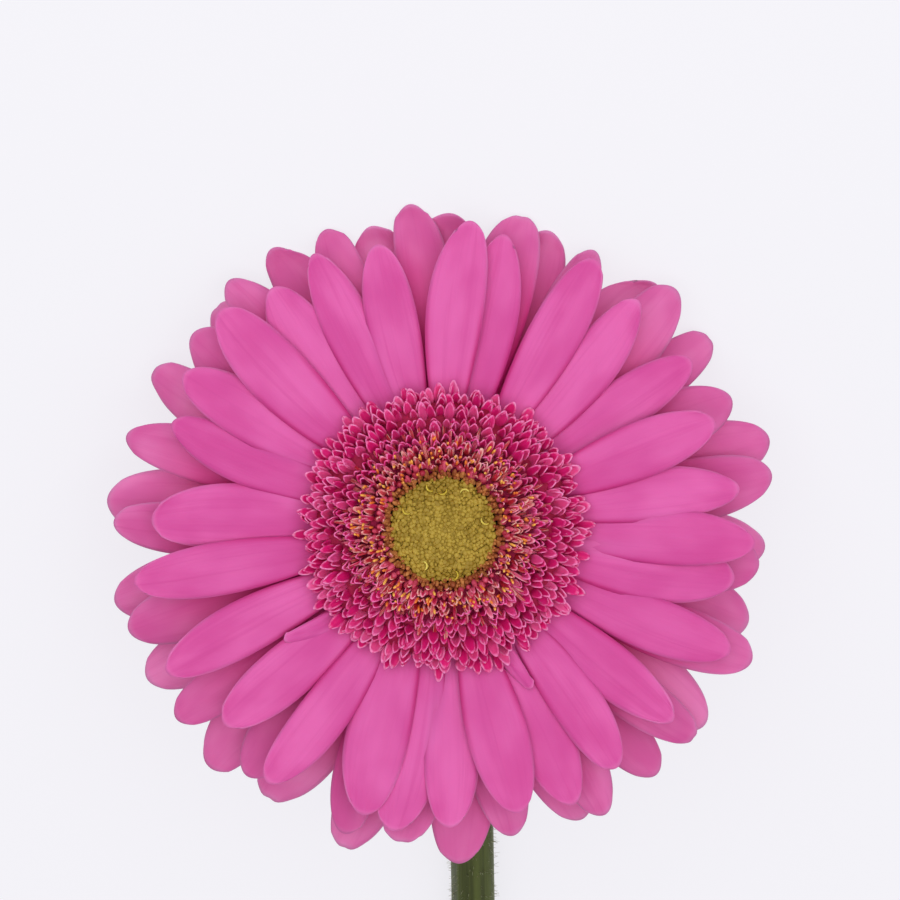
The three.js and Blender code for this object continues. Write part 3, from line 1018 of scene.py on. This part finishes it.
@dataclass
class InnerFlorets:
    """The deep ring of petal-like scoops, the cream-tipped florets inside it, and their stamens."""

    thickness: float = 0.17
    bed_radius: float = 8.9
    bed_bottom: float = 1.4
    rings: tuple[Ring, ...] = (
        Ring(19.9, 2.9, 62, 4.0, 1.7, 74, 3),
        Ring(19.3, 3.3, 68, 4.1, 1.7, 69, 3),
        Ring(18.7, 3.6, 68, 4.2, 1.65, 64, 3),
        Ring(17.9, 3.9, 68, 4.5, 1.65, 59, 0),
        Ring(17.1, 4.2, 66, 4.6, 1.6, 54, 3),
        Ring(16.3, 4.4, 64, 4.7, 1.6, 49, 0),
        Ring(15.5, 4.6, 62, 4.7, 1.55, 43, 0),
        Ring(14.7, 4.7, 58, 4.4, 1.45, 36, 0),
        Ring(14.0, 4.8, 54, 4.3, 1.4, 31, 0),
        Ring(13.3, 4.8, 52, 4.1, 1.3, 26, 0),
        tipped(12.7, 4.8, 52, 4.0, 1.15, 21, 2),
        tipped(12.1, 4.8, 50, 3.9, 1.1, 17, 1),
        tipped(11.6, 4.8, 48, 3.7, 1.05, 13, 2),
        tipped(11.1, 4.7, 46, 3.5, 1.0, 9, 1),
        tipped(10.6, 4.6, 44, 3.3, 0.95, 5, 2),
        tipped(10.1, 4.4, 42, 3.0, 0.9, 0, 1),
        lobed(13.6, 5.2, 60, 4.0, 24, 1),
        lobed(12.4, 5.2, 60, 3.9, 15, 2),
        lobed(11.3, 5.1, 50, 3.6, 6, 1),
    )
    bearing_spread: float = 2.2
    lean_spread: float = 12.0
    twist_spread: float = 42.0
    lengths: tuple[float, float] = (0.72, 1.18)
    widths: tuple[float, float] = (0.78, 1.18)
    cups: tuple[float, float] = (0.5, 1.0)
    tips: tuple[float, float] = (1.9, 2.6)
    foot_spread: float = 0.5
    foot_height_spread: float = 0.3
    sunk: float = 0.9  # how far a floret's foot is below its ring's height
    foot_share: float = 0.45  # the foot's share of the width
    widest_at: float = 0.55
    end_past: float = 0.88
    stamens: int = 170
    stamen_turns: float = 3.0  # how often their bearings go round
    stamen_radii: tuple[float, ...] = (10.2, 11.1, 12.0, 13.0, 14.0)
    stamen_foot: float = 4.2
    stamen_heights: tuple[float, float] = (3.1, 4.1)
    stamen_stations: tuple[float, ...] = (0, 0.6, 0.74, 0.92, 1.0)
    stamen_profile: tuple[float, ...] = (0.09, 0.12, 0.2, 0.21, 0.12)
    # Rows of closed buds: radius, height, count, size
    young_rows: tuple[tuple[float, float, int, float], ...] = (
        (10.7, 4.9, 44, 0.56),
        (10.0, 4.6, 50, 0.5),
        (9.5, 4.2, 84, 0.38),
        (9.1, 3.3, 80, 0.5),
        (9.0, 3.9, 100, 0.34),
        (8.55, 3.6, 110, 0.32),
    )
    pink_rows: int = 2  # the outer rows are pink, and the others dark
    young_widths: tuple[float, float] = (0.75, 1.15)
    young_stretch: tuple[float, float] = (1.7, 2.6)
    young_leans: tuple[float, float] = (-10, 50)

    def blade_place(self, ring: Ring, bearing: float, rng: random.Random) -> Place:
        """Gives the function that bends a flat grid into a scoop.

        Args:
            ring: The ring that it stands in.
            bearing: Its bearing in degrees.
            rng: The source of its scatter.

        Returns:
            The function, from lane and share to a point in the head's frame.
        """
        lean = math.radians(ring.lean + spread(rng, self.lean_spread))
        length = ring.length * rng.uniform(*self.lengths)
        width = ring.width * rng.uniform(*self.widths)
        curl = math.radians(rng.uniform(*ring.curl))
        cup = rng.uniform(*self.cups)
        twist = math.radians(spread(rng, self.twist_spread))
        tip = rng.uniform(*self.tips)
        out, across = outward(bearing), sideways(bearing)
        foot = out * (ring.radius + spread(rng, self.foot_spread))
        foot.z = ring.height - self.sunk + spread(rng, self.foot_height_spread)

        def place(lane: float, share: float) -> Vector:
            """Bends one point of the grid."""
            angle = lean - curl * share
            middle = lean - curl * share / 2
            along = out * math.sin(middle) + Vector((0, 0, math.cos(middle)))
            facing = Vector((0, 0, math.sin(angle))) - out * math.cos(angle)
            past = max(0.0, self.end_past * (share - self.widest_at) / (1 - self.widest_at))
            swell = lerp(self.foot_share, 1.0, smoothstep(0.0, 0.6, share)) * (1 - past**tip) ** (1 / tip)
            half = width / 2 * swell
            turn = twist * share
            side = across * math.cos(turn) + facing * math.sin(turn)
            rounding = 0.07 * past * past * lane * lane
            hollow = cup * half * lane * lane * smoothstep(0.1, 0.6, share)
            return foot + along * (length * (share - rounding)) + side * (lane * half) + facing * hollow

        return place

    def build_scoops(self) -> bpy.types.Object:
        """Builds the rings of scoops and tipped florets.

        Returns:
            The piece.
        """
        rng = random.Random(SEED)
        blades = Blades()
        for r, ring in enumerate(self.rings):
            for n in range(ring.count):
                bearing = staggered(r, n, ring.count) + spread(rng, self.bearing_spread)
                place = self.blade_place(ring, bearing, rng)
                blades.blade(ring.lanes, ring.stations, place, spread(rng, 1), ring.slot)
        finishes = (SCOOP, CREAM_TIP, ROSE_TIP, PINK_SCOOP)
        return blades.finish("floret_ring", "inner_florets", "small_florets", finishes, self.thickness)

    def build_bed(self) -> bpy.types.Object:
        """Builds the dark bed that the florets spring from.

        Returns:
            The piece.
        """
        r, b = self.bed_radius, self.bed_bottom
        under = [(r, b), (12.2, b), (20.0, b + 1.8), (20.3, b + 2.3)]
        top = [(18.0, b + 2.9), (14.6, b + 3.2), (11.0, b + 2.7), (r, b + 1.6)]
        blades = Blades()
        blades.turned(under + top, 64)
        return blades.finish("floret_bed", "inner_florets", "small_florets", (BED,))

    def build_young_buds(self) -> bpy.types.Object:
        """Builds the rows of unopened pink buds round the eye, and the small dark ones against it.

        Returns:
            The piece.
        """
        rng = random.Random(SEED + 5)
        blades = Blades()
        for row, (radius, height, count, size) in enumerate(self.young_rows):
            slot = int(row >= self.pink_rows)
            for n in range(count):
                bearing = staggered(row, n, count) + spread(rng, 3)
                broad = size * rng.uniform(*self.young_widths)
                centre = outward(bearing) * (radius + rng.uniform(-0.42, 0.36))
                centre.z = height + rng.uniform(-0.4, 0.5)
                lean = Matrix.Rotation(math.radians(rng.uniform(*self.young_leans)), 4, -sideways(bearing))
                shape = Matrix.Diagonal((broad, broad, broad * rng.uniform(*self.young_stretch), 1))
                blades.bud(Matrix.Translation(centre) @ lean @ shape, 8, 6, spread(rng, 1), slot)
        return blades.finish("young_buds", "inner_florets", "small_florets", (YOUNG_BUD, DARK_BUD))

    def build_stamens(self) -> bpy.types.Object:
        """Builds the orange stamens that stand among the tipped florets.

        Returns:
            The piece.
        """
        rng = random.Random(SEED + 1)
        blades = Blades()
        for n in range(self.stamens):
            bearing = n * 360 / self.stamens * self.stamen_turns + spread(rng, 4)
            radius = rng.choice(self.stamen_radii) + spread(rng, 0.5)
            out, side = outward(bearing), sideways(bearing)
            foot = out * radius + Vector((0, 0, self.stamen_foot))
            height = rng.uniform(*self.stamen_heights)
            bend = out * rng.uniform(-0.3, 1.2) + side * spread(rng, 0.5)
            points = [foot + Vector((0, 0, height * t)) + bend * t**3 for t in self.stamen_stations]
            blades.rod(points, self.stamen_profile, 6, spread(rng, 1))
        return blades.finish("stamens", "inner_florets", "small_florets", (ANTHER,))


# ---- the eye ----


@dataclass
class Eye:
    """The disc of closed buds in the middle."""

    radius: float = 8.6
    height: float = 4.4
    bottom: float = 1.4
    base_margin: float = 0.5
    base_sides: int = 48
    base_steps: tuple[float, ...] = (0.8, 0.55, 0.3)
    buds: int = 640
    bud_margin: float = 0.3
    bud_sizes: tuple[float, float] = (0.36, 0.42)  # in the middle and at the rim
    bud_growth: tuple[float, float] = (0.72, 1.35)
    bud_heights: tuple[float, float] = (0.35, 0.8)
    bud_stretch: tuple[float, float] = (0.7, 1.4)
    golden_angle: float = 137.508
    rim_lean: float = 18.0
    curl_bearings: tuple[float, ...] = (-16, -2, 31, -61, 77, -150, 168)
    curl_radius: float = 0.75
    curl_step: float = 0.42
    curl_profile: tuple[float, ...] = (0.08, 0.13, 0.17, 0.18, 0.17, 0.13, 0.08)

    def crown(self, share: float) -> float:
        """Gives the height of the disc at a share of its radius."""
        return self.height - 1.1 * share**3 + 0.25 * share

    def build(self) -> list[bpy.types.Object]:
        """Builds the disc, its buds and the few open curls on it.

        Returns:
            The pieces.
        """
        rng = random.Random(SEED + 2)
        return [self.build_base(), self.build_buds(rng), self.build_curls(rng)]

    def build_base(self) -> bpy.types.Object:
        """Builds the low dome that the buds stand on."""
        dome = Blades()
        bm = dome.bm
        radius = self.radius - self.base_margin
        disc = bmesh.ops.create_circle(bm, cap_ends=True, segments=self.base_sides, radius=radius)
        bmesh.ops.translate(bm, vec=(0, 0, self.bottom), verts=disc["verts"])
        bottom = disc["verts"][0].link_faces[0]
        grown = bmesh.ops.extrude_face_region(bm, geom=[bottom])["geom"]
        lid = next(g for g in grown if isinstance(g, bmesh.types.BMFace))
        bmesh.ops.translate(bm, vec=(0, 0, self.crown(1) - 0.2 - self.bottom), verts=lid.verts)
        for share in self.base_steps:
            bmesh.ops.inset_region(bm, faces=[lid], thickness=0.24 * self.radius, depth=0)
            for vert in lid.verts:
                vert.co.z = self.crown(share) - 0.05
        bmesh.ops.recalc_face_normals(bm, faces=bm.faces)
        dome.dress(list(bm.verts), 0.0)
        return dome.finish("eye_base", "eye", "buds", (EYE_BED,))

    def build_buds(self, rng: random.Random) -> bpy.types.Object:
        """Builds the closed buds, set out as on a real disc by the golden angle.

        Args:
            rng: The source of their scatter.

        Returns:
            The piece.
        """
        buds = Blades()
        for n in range(self.buds):
            share = math.sqrt((n + 0.5) / self.buds)
            bearing = n * self.golden_angle + spread(rng, 2)
            size = lerp(*self.bud_sizes, share) * rng.uniform(*self.bud_growth)
            tall = size * rng.uniform(*self.bud_heights)
            centre = outward(bearing) * (share * (self.radius - self.bud_margin) + spread(rng, 0.12))
            centre.z = self.crown(share) + rng.uniform(-0.1, 0.08)
            lean = Matrix.Rotation(math.radians(self.rim_lean * share * share), 4, sideways(bearing))
            spin = Matrix.Rotation(rng.uniform(0, math.pi), 4, "Z")
            shape = Matrix.Diagonal((size, size * rng.uniform(*self.bud_stretch), tall, 1))
            buds.bud(Matrix.Translation(centre) @ lean @ spin @ shape, 7, 5, spread(rng, 1))
        return buds.finish("eye_buds", "eye", "buds", (BUD,))

    def build_curls(self, rng: random.Random) -> bpy.types.Object:
        """Builds the curled yellow lobes of the few florets that have begun to open.

        Args:
            rng: The source of their scatter.

        Returns:
            The piece.
        """
        curls = Blades()
        for bearing in self.curl_bearings:
            radius = rng.uniform(6.3, 7.6)
            centre = outward(bearing) * radius + Vector((0, 0, self.crown(radius / self.radius) + 0.55))
            turn = rng.uniform(0, 2 * math.pi)
            points = []
            for t in range(len(self.curl_profile)):
                angle = turn + t * self.curl_step
                across = Vector((math.cos(angle), math.sin(angle), 0)) * self.curl_radius
                points.append(centre + across + Vector((0, 0, 0.12 * math.sin(t))))
            curls.rod(points, self.curl_profile, 6, spread(rng, 1))
        return curls.finish("eye_curls", "eye", "buds", (CURL,))


# ---- the green parts ----


@dataclass
class Involucre:
    """The green cup behind the petals, clothed in rows of pointed bracts."""

    base: float = -14.0
    top: float = -2.9
    # Rows of bracts, the outermost first: count, length, width, radius, height, lean
    rows: tuple[tuple[int, float, float, float, float, float], ...] = (
        (30, 8.8, 2.2, 11.1, -9.6, 20),
        (27, 9.6, 2.3, 10.2, -10.8, 25),
        (24, 10.2, 2.4, 8.8, -12.0, 32),
        (20, 9.4, 2.4, 7.2, -13.0, 40),
        (14, 8.0, 2.4, 5.6, -13.9, 48),
    )
    thickness: float = 0.4
    straightening: float = 14.0
    foot_share: float = 0.7
    tip_width: float = 0.08
    keel: float = 0.45

    def build(self) -> list[bpy.types.Object]:
        """Builds the cup and the bracts.

        Returns:
            The pieces.
        """
        return [self.build_cup(), self.build_bracts()]

    def build_cup(self) -> bpy.types.Object:
        """Builds the cup that the bracts spring from."""
        b = self.base
        side = [(4.6, b), (7.0, b + 1.6), (9.9, b + 4.8), (11.5, b + 8.2)]
        cup = Blades()
        cup.turned([(0, b), *side, (11.8, self.top), (0, self.top)], 48)
        return cup.finish("involucre_cup", "involucre", "bracts", (CUP,))

    def build_bracts(self) -> bpy.types.Object:
        """Builds the rows of bracts.

        Returns:
            The piece.
        """
        rng = random.Random(SEED + 3)
        bracts = Blades()
        for r, (count, length, width, radius, height, lean) in enumerate(self.rows):
            for n in range(count):
                bearing = staggered(r, n, count) + spread(rng, 3)
                long = length * rng.uniform(0.88, 1.08)
                place = self.bract(long, width, radius, height, lean + rng.uniform(-4, 5), bearing)
                bracts.blade(4, 9, place, spread(rng, 1))
        return bracts.finish("bracts", "involucre", "bracts", (BRACT,), self.thickness)

    def bract(
        self, length: float, width: float, radius: float, height: float, lean: float, bearing: float
    ) -> Place:
        """Gives the function that bends a flat grid into a pointed bract.

        Args:
            length: Its length.
            width: Its greatest width.
            radius: The radius at which it springs.
            height: The height at which it springs.
            lean: Its lean outward at its foot, in degrees.
            bearing: Its bearing.

        Returns:
            The function, from lane and share to a point in the head's frame.
        """
        out, across = outward(bearing), sideways(bearing)
        foot = out * radius + Vector((0, 0, height))

        def place(lane: float, share: float) -> Vector:
            """Bends one point of the grid."""
            angle = math.radians(lean - self.straightening * share)
            along = out * math.sin(angle) + Vector((0, 0, math.cos(angle)))
            facing = out * math.cos(angle) - Vector((0, 0, math.sin(angle)))
            swell = lerp(self.foot_share, 1, math.sin(math.pi * min(share * 2, 1)))
            half = width / 2 * swell * (1 - share**1.8) + self.tip_width / 2
            point = foot + along * (length * share)
            return point + across * (lane * half) - facing * (self.keel * lane * lane * half)

        return place


class StemPart(Enum):
    """The stem's finishes, by their place in its list."""

    SKIN = 0
    CUT = 1


@dataclass
class Stem:
    """The bent neck and the lying stalk, with its cut end and its down."""

    base: float = -14.0
    gap: float = 0.3
    neck_bend_radius: float = 25.0
    neck_radius: float = 3.45
    cut_radius: float = 4.1
    end_y: float = 188.19
    arch: float = 1.2
    bow: float = 5.3
    neck_share: float = 0.1
    solid_sides: int = 12
    slant: float = 25.0
    slant_from: float = 0.985
    sides: int = 30
    stations: int = 260
    row_easing: float = 1.35  # over 1 draws the rows together towards the neck
    flare: float = 1.1
    hump: float = 2.4
    ribs: int = 7
    rib_depth: float = 0.025  # as a share of the radius
    waver: float = 0.05
    floor: float = 0.02
    # The rings of the cut, from the skin inward: width and depth
    cut_rings: tuple[tuple[float, float], ...] = (
        (0.35, 0.0),
        (0.5, -0.12),
        (0.9, -0.1),
        (0.9, 0.0),
        (0.6, -0.25),
    )
    hairs: int = 5200
    hair_lengths: tuple[float, float] = (0.5, 1.15)
    hair_radii: tuple[float, float] = (0.045, 0.012)
    hair_clearance: float = 0.05

    def __post_init__(self) -> None:
        """Works out where the neck starts and where its bend does."""
        self.neck = HEAD @ Vector((0, 0, self.base - self.gap))
        self.start_angle = math.pi / 2 - HEAD_TILT
        dip = self.neck_bend_radius * (1 - math.cos(self.start_angle))
        drop = self.neck.z - self.rest_height(self.neck_radius) - self.arch - dip
        down_neck = Vector((0, math.cos(self.start_angle), -math.sin(self.start_angle)))
        self.bend_start = self.neck + down_neck * (drop / math.sin(self.start_angle))

    def rest_height(self, radius: float) -> float:
        """Gives the height of a lying bar's centre, where the solid's lowest facet is on the table."""
        return radius * math.cos(math.pi / self.solid_sides)

    def sideways_bow(self, share: float) -> float:
        """Gives the sideways shift at a share of the stem's length."""
        return -self.bow * math.sin(math.pi * share**0.7) * smoothstep(0, self.neck_share, share)

    def centre(self, share: float) -> tuple[Vector, float]:
        """Gives a point of the stem's centre line and the radius there.

        Args:
            share: The share of the way from the involucre to the cut end.

        Returns:
            The point, in millimetres on the table, and the radius.
        """
        r = self.neck_bend_radius
        if share <= self.neck_share:
            angle = self.start_angle * (1 - share / self.neck_share)
            y = r * (math.sin(self.start_angle) - math.sin(angle))
            z = r * (math.cos(self.start_angle) - math.cos(angle))
            flare = self.flare * (1 - smoothstep(0, 0.25, share / self.neck_share))
            start = self.neck.lerp(self.bend_start, smoothstep(0, 0.1, share / self.neck_share))
            return Vector((self.sideways_bow(share), start.y + y, start.z + z)), self.neck_radius + flare
        lying = (share - self.neck_share) / (1 - self.neck_share)
        radius = lerp(self.neck_radius, self.cut_radius, math.sqrt(lying))
        from_y = self.bend_start.y + r * math.sin(self.start_angle)
        rise = self.arch * (1 - lying) * (1 + self.hump * lying)
        y, z = lerp(from_y, self.end_y, lying), self.rest_height(radius) + rise
        return Vector((self.sideways_bow(share), y, z)), radius

    def frame(self, share: float) -> tuple[Vector, Vector, Vector, Vector, float]:
        """Gives the stem's centre, its directions along, sideways and up, and its radius, at a share."""
        step = 0.002
        centre, radius = self.centre(share)
        before, _ = self.centre(max(share - step, 0))
        after, _ = self.centre(min(share + step, 1))
        along = (after - before).normalized()
        side = (Vector((1, 0, 0)) - along * along.x).normalized()
        return centre, along, side, side.cross(along), radius

    def skin(self, lane: float, share: float) -> Vector:
        """Bends one point of a flat grid into the stem's skin."""
        eased = share**self.row_easing
        centre, along, side, up, radius = self.frame(eased)
        turn = math.pi * (lane + 1)
        radius *= 1 + self.rib_depth * math.cos(self.ribs * turn + 0.6 * math.sin(9 * eased))
        radius += self.waver * math.sin(40 * eased + 2 * turn)
        point = centre + side * (radius * math.cos(turn)) + up * (radius * math.sin(turn))
        lean = math.tan(math.radians(self.slant)) * smoothstep(self.slant_from, 1.0, eased)
        point += along * (radius * math.sin(turn) * lean)
        point.z = max(point.z, self.floor)
        return point

    def build_stalk(self) -> bpy.types.Object:
        """Builds the stalk with its slanting cut.

        Returns:
            The piece.
        """
        stalk = Blades()
        stalk.blade(self.sides, self.stations, self.skin, 0.0)
        bm = stalk.bm
        bmesh.ops.remove_doubles(bm, verts=bm.verts, dist=0.002)
        rims = [edge for edge in bm.edges if edge.is_boundary]
        caps = bmesh.ops.holes_fill(bm, edges=rims, sides=0)["faces"]
        cut = max(caps, key=lambda face: face.calc_center_median().y)
        bmesh.ops.recalc_face_normals(bm, faces=bm.faces)
        cut.material_index = StemPart.CUT.value
        for width, depth in self.cut_rings:
            for face in bmesh.ops.inset_region(bm, faces=[cut], thickness=width, depth=depth)["faces"]:
                face.material_index = StemPart.CUT.value
        for face in bm.faces:
            face.smooth = face.material_index == StemPart.SKIN.value
        return stalk.finish("stalk", "stem", "stem", (STALK, PITH), in_head=False)

    def build_down(self) -> bpy.types.Object:
        """Builds the fine hairs on the stalk.

        Returns:
            The piece.
        """
        rng = random.Random(SEED + 4)
        down = Blades()
        for _ in range(self.hairs):
            share = rng.random() ** 1.15
            centre, along, side, up, radius = self.frame(share)
            turn = rng.uniform(0, 2 * math.pi)
            out = side * math.cos(turn) + up * math.sin(turn)
            length = rng.uniform(*self.hair_lengths)
            root = centre + out * (radius * 0.98)
            if root.z < 1.0 and out.z < -0.3:
                continue
            lean = (out + along * spread(rng, 0.5) + side.cross(up) * spread(rng, 0.3)).normalized()
            middle = root + lean * (length / 2)
            if middle.z + lean.z * length / 2 < self.hair_clearance:
                continue
            foot, tip = self.hair_radii
            matrix = Matrix.Translation(middle) @ lean.to_track_quat("Z", "Y").to_matrix().to_4x4()
            hair = bmesh.ops.create_cone(
                down.bm, cap_ends=True, segments=3, radius1=foot, radius2=tip, depth=length, matrix=matrix
            )
            down.dress(hair["verts"], spread(rng, 1))
        return down.finish("stem_down", "stem", "stem", (DOWN,), in_head=False)


# ---- the studio ----


@dataclass(frozen=True)
class Softbox:
    """A round lamp that faces the flower's head."""

    name: str
    spot: tuple[float, float, float]
    size: float
    power: float

    def build(self) -> None:
        """Builds the lamp."""
        lamp = bpy.data.lights.new(self.name, "AREA")
        lamp.shape = "DISK"
        lamp.size = self.size
        lamp.energy = self.power
        holder = bpy.data.objects.new(self.name, lamp)
        bpy.context.scene.collection.objects.link(holder)
        holder.location = self.spot
        aim = HEAD_CENTRE * MM - Vector(self.spot)
        holder.rotation_euler = aim.to_track_quat("-Z", "Y").to_euler()


@dataclass
class Studio:
    """The pale table, the soft light and the camera."""

    distance: float = 900.0
    pixel: float = 0.16
    image_size: int = 900
    centre_px: tuple[float, float] = (443.5, 529.0)
    film_width: float = 36.0
    table_half: float = 3.0
    table: Colour = field(default_factory=lambda: linear(247, 246, 251))
    table_glow: float = 0.79
    room: tuple[float, float, float, float] = (0.97, 0.97, 1.0, 1)
    room_strength: float = 0.44
    lamps: tuple[Softbox, ...] = (
        Softbox("softbox", (0.06, -0.68, 0.88), 1.3, 6.4),
        Softbox("fill", (-0.4, -0.3, 0.85), 1.0, 1.4),
    )

    def build_table(self) -> None:
        """Builds the pale table that the flower lies on."""
        bm = bmesh.new()
        bmesh.ops.create_grid(bm, x_segments=1, y_segments=1, size=self.table_half)
        mesh = bpy.data.meshes.new("table")
        bm.to_mesh(mesh)
        bm.free()
        table = bpy.data.objects.new("table", mesh)
        bpy.context.scene.collection.objects.link(table)
        s = Shader("table")
        shaded = tuple(c * (1 - self.table_glow) for c in self.table)
        s.finish((*shaded, 1.0), 0.9, Specular_IOR_Level=0.0)
        s.surface.inputs["Emission Color"].default_value = (*self.table, 1.0)
        s.surface.inputs["Emission Strength"].default_value = self.table_glow
        mesh.materials.append(s.material)

    def build_light(self) -> None:
        """Builds a soft light from all round and the two lamps above."""
        world = bpy.data.worlds.new("soft_room")
        world.use_nodes = True
        background = world.node_tree.nodes["Background"]
        background.inputs["Color"].default_value = self.room
        background.inputs["Strength"].default_value = self.room_strength
        bpy.context.scene.world = world
        for lamp in self.lamps:
            lamp.build()

    def build_camera(self) -> None:
        """Builds the camera, square to the head's face, with the head's lowest side at the picture's top."""
        frame_width = self.pixel * self.image_size
        half = self.image_size / 2
        off_x, off_y = half - self.centre_px[0], self.centre_px[1] - half
        aim = HEAD @ Vector((off_x * self.pixel, off_y * self.pixel, 0))
        camera = bpy.data.cameras.new("camera")
        camera.sensor_width = self.film_width
        camera.lens = camera.sensor_width * self.distance / frame_width
        camera.clip_end = 20.0
        holder = bpy.data.objects.new("camera", camera)
        bpy.context.scene.collection.objects.link(holder)
        turn = HEAD.to_3x3()
        stand = aim + turn @ Vector((0, 0, self.distance))
        holder.matrix_world = Matrix.Translation(stand * MM) @ turn.to_4x4()
        bpy.context.scene.camera = holder

    def build(self) -> None:
        """Builds the studio."""
        self.build_table()
        self.build_light()
        self.build_camera()
        scene = bpy.context.scene
        scene.view_settings.view_transform = "Standard"
        scene.view_settings.look = "None"


def main() -> None:
    """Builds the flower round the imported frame."""
    logging.basicConfig(level=logging.INFO, format="%(message)s")
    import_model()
    Studio().build()
    RayFlorets().build()
    inner = InnerFlorets()
    inner.build_bed()
    inner.build_scoops()
    inner.build_young_buds()
    inner.build_stamens()
    Eye().build()
    Involucre().build()
    stem = Stem()
    stem.build_stalk()
    stem.build_down()


if __name__ == "__main__":
    main()
